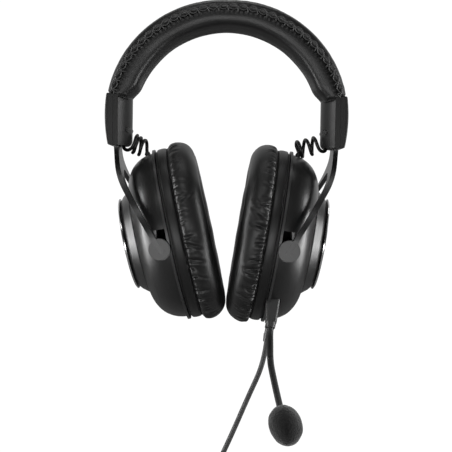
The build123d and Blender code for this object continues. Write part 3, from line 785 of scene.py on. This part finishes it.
def ear_pad_mesh(side, material):
    """The pad's skirt, seam and gathered cushion, swept round the cup's oval."""
    sign = SIDES[side]
    section = smooth_loop(EAR_SECTION, 2)
    around = np.linspace(0, CIRCLE, PAD_STEPS, endpoint=False)
    seam = int(np.argmin(np.hypot(section[:, 0] - SEAM_N, section[:, 1] - SEAM_FLOOR_R)))
    steps = np.hypot(*np.diff(section, axis=0).T)
    travelled = np.concatenate([[0], np.cumsum(steps)])
    arc = travelled - travelled[seam]
    gathered = (arc > 0) & (section[:, 1] > PLEATS_TO_R)
    relief = pleat_relief(np.where(gathered, arc, -1.0), around, PLEAT_SEED + sign)
    ahead, behind = np.roll(section, -1, 0), np.roll(section, 1, 0)
    normal = (ahead - behind)[:, ::-1] * [-1, 1]
    normal /= np.linalg.norm(normal, axis=1)[:, None]
    if normal[int(np.argmax(section[:, 1]))][1] < 0:
        normal = -normal
    points = []
    for j, angle in enumerate(around):
        cos, sin = math.cos(angle), math.sin(angle)
        swell = np.array([noise.noise(Vector((cos * 4, sin * 4, s * 0.12 + sign)))
                          for s in travelled])
        shift = relief[:, j] + 0.28 * swell * step(1.5, 9, arc)
        n = section[:, 0] + normal[:, 0] * shift
        r = section[:, 1] + normal[:, 1] * shift
        for a, b in zip(n, r):
            points.append(cup_point(a, -OVAL * b * sin, b * cos, sign))
    faces = grid_faces(PAD_STEPS, len(section), close_rows=True)
    if sign < 0:
        faces = [f[::-1] for f in faces]
    return add_mesh(f"ear_pad_leather_{side}", points, faces, material)


def ear_pad_thread(side, material):
    """Short stitches in the pad's seam."""
    sign = SIDES[side]
    count = round(CIRCLE * SEAM_R * 0.95 / STITCH_PITCH)
    first, last = STITCH_SPAN
    lines = []
    for k in range(count):
        line = []
        for share in (first, 0.3, 0.5, 0.7, last):
            angle = CIRCLE * (k + share) / count
            r = SEAM_R + 0.35 * math.sin(math.pi * (share - first) / (last - first)) - 0.15
            line.append(cup_point(SEAM_N, -OVAL * r * math.sin(angle), r * math.cos(angle), sign))
        lines.append(line)
    return tubes(f"ear_pad_seam_{side}", lines, STITCH_R * MM, material, 6)


def make_ear_pads(finishes):
    for side in SIDES:
        pad = ear_pad_mesh(side, finishes["ear_leather"])
        thread = ear_pad_thread(side, finishes["lead_rubber"])
        for piece in (pad, thread):
            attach(piece, f"cup_{side}")
        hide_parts(f"ear_pad_{side}")


# ---- microphone

def make_boom(finishes):
    """The gooseneck as two lengths of one smooth line, split near its middle; each holds one bend.
    """
    start = SEAT + PLUG_AXIS * BOOM_FROM
    corners = (start, start + PLUG_AXIS * 6, BEND_1, BOOM_MID, BEND_2, BOOM_END,
               FOAM - FOAM_AXIS * 4)
    line = smooth_line([p * MM for p in corners], 14)
    middle = min(range(len(line)), key=lambda i: (line[i] - BOOM_MID * MM).length)
    for name, part, radii, bodies, bend, nodes in (
            ("mic_gooseneck_lower", line[:middle + 1], (1.95, 1.85), ("mic_base", "mic_mid"),
             BEND_1, ("mic_boom_lower", "mic_boom_middle")),
            ("mic_gooseneck_upper", line[middle:], (1.85, 1.72), ("mic_mid", "mic_tip"),
             BEND_2, ("mic_boom_upper",))):
        radius = np.linspace(radii[0] * MM, radii[1] * MM, len(part))
        piece = add_mesh(name, *tube_parts(part, radius, 24), finishes["boom_plastic"])
        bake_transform(piece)
        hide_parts(*nodes)


def make_foam(finishes):
    """The windscreen: an egg of foam, a little flat on one side, with a pore-rough skin."""
    across = FOAM_AXIS.orthogonal().normalized()
    other = FOAM_AXIS.cross(across)
    points = []
    for i in range(FOAM_RINGS):
        polar = math.pi * (i + 0.5) / FOAM_RINGS
        for k in range(FOAM_SIDES):
            turn = CIRCLE * k / FOAM_SIDES
            d = (FOAM_AXIS * (FOAM_HALF * math.cos(polar))
                 + across * (FOAM_R * math.sin(polar) * math.cos(turn))
                 + other * (FOAM_R * math.sin(polar) * math.sin(turn)))
            d *= 1 - 0.05 * max(0.0, d.normalized().dot(FOAM_FLAT_SIDE)) ** 4
            grain = noise.noise(d * 1.6) * 0.10
            grain += noise.noise(d * 0.25 + Vector((5, 2, 8))) * 0.2
            points.append((FOAM + d * (1 + grain / d.length)) * MM)
    faces = grid_faces(FOAM_RINGS, FOAM_SIDES)
    faces.append(tuple(reversed(range(FOAM_SIDES))))
    faces.append(tuple((FOAM_RINGS - 1) * FOAM_SIDES + k for k in range(FOAM_SIDES)))
    foam = add_mesh("mic_windscreen", points, faces, finishes["foam"])
    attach(foam, "mic_tip")
    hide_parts("mic_foam")


# ---- CAD pieces that stay

def paint_frame(frame, finishes):
    """Each CAD node that stays gets the finish of its record slot."""
    slots = {row["node"]: row["material_slot"] for row in frame["record"]["subparts"]}
    for name, obj in frame["nodes"].items():
        if name.startswith("outer_disc"):
            paint(obj, finishes["disc_" + name.split("_")[-1]])
        elif name == "cable_plug":
            paint(obj, finishes["cable_plug"])
        else:
            paint(obj, finishes[slots[name]])


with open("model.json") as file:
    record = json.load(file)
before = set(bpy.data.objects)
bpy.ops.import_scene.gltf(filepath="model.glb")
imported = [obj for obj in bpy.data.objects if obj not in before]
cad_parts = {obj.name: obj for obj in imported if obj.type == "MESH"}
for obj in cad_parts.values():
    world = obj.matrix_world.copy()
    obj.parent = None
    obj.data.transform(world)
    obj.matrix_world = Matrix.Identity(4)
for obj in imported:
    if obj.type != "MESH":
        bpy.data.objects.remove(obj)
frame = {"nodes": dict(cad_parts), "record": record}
cad_box = [list(p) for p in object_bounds()]
make_camera()
finishes = make_materials()
make_cable(finishes)
for side_name in SIDES:
    make_lead(side_name, finishes)
paint_frame(frame, finishes)
make_headband(finishes)
make_ear_pads(finishes)
make_boom(finishes)
make_foam(finishes)
make_floor(cad_box[0][2])
make_lights()
